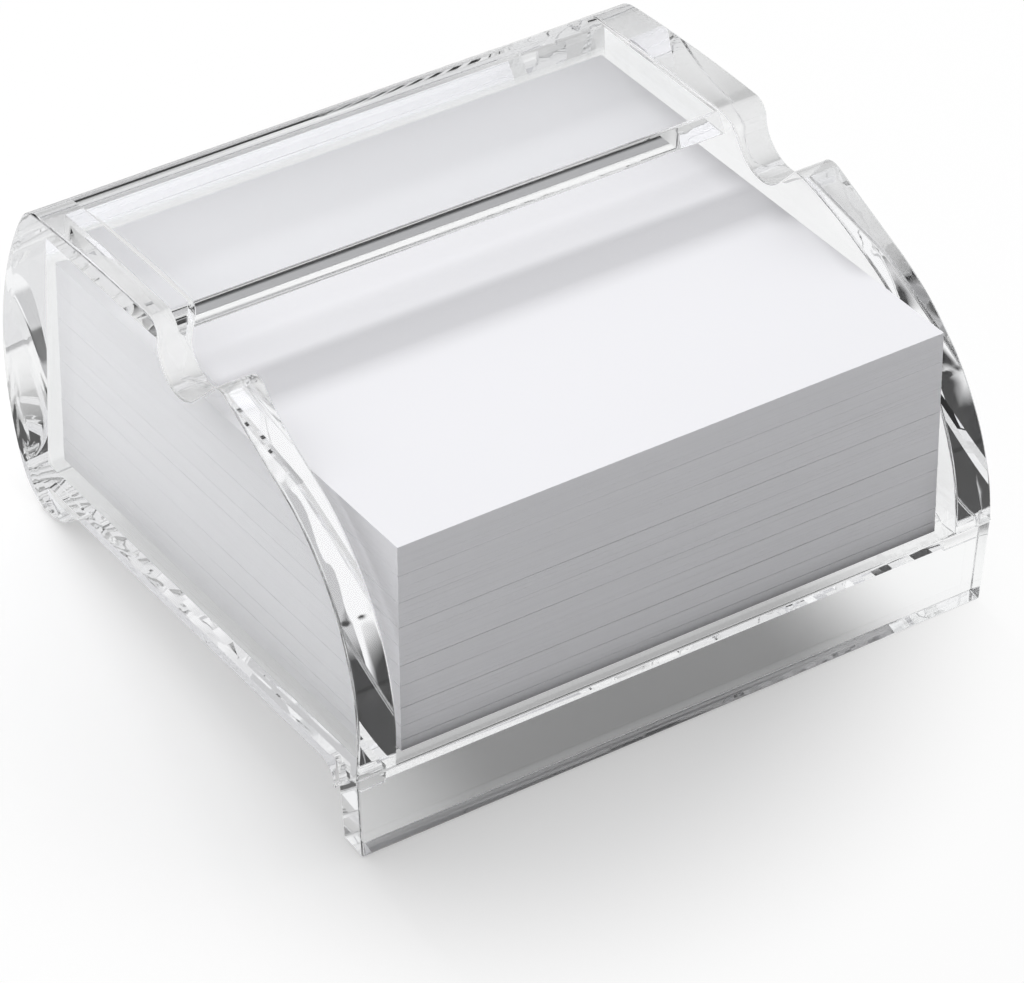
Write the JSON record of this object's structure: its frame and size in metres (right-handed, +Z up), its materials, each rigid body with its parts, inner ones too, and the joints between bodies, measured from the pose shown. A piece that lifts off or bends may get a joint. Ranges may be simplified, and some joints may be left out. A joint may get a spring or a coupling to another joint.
{
  "type": "memo sheet holder",
  "caption": "Clear acrylic desk holder with an open-fronted bay for a block of loose memo sheets, a flat cover over the rear, a pen notch across both side panels and a low foot along the front.",
  "frame": {"origin": "on the desk, under the middle of the holder's outline", "axes": "+Z up, front of the holder towards -Y, +X to the right as seen from the front"},
  "size_m": [0.1074, 0.0988, 0.0521],
  "materials": {
    "clear_acrylic": "polished, clear",
    "paper": "uncoated white paper"
  },
  "bodies": {
    "holder": {"left_side_panel": "clear_acrylic", "right_side_panel": "clear_acrylic", "top_cover": "clear_acrylic", "rear_wall": "clear_acrylic", "base_plate": "clear_acrylic", "front_foot": "clear_acrylic"},
    "memo_block": {"memo_sheets_01": "paper", "memo_sheets_02": "paper", "memo_sheets_03": "paper", "memo_sheets_04": "paper", "memo_sheets_05": "paper", "memo_sheets_06": "paper", "memo_sheets_07": "paper", "memo_sheets_08": "paper", "memo_sheets_09": "paper", "memo_sheets_10": "paper"},
    "top_sheet": {"top_memo_sheet": "paper"}
  },
  "joints": [
    {"name": "memo_block_pull", "type": "slide", "parent": "holder", "child": "memo_block", "axis": [0, -0.9946, 0.1041], "range_m": [0, 0.085]},
    {"name": "top_sheet_pull", "type": "slide", "parent": "memo_block", "child": "top_sheet", "axis": [0, -0.9946, 0.1041], "range_m": [0, 0.084]}
  ]
}
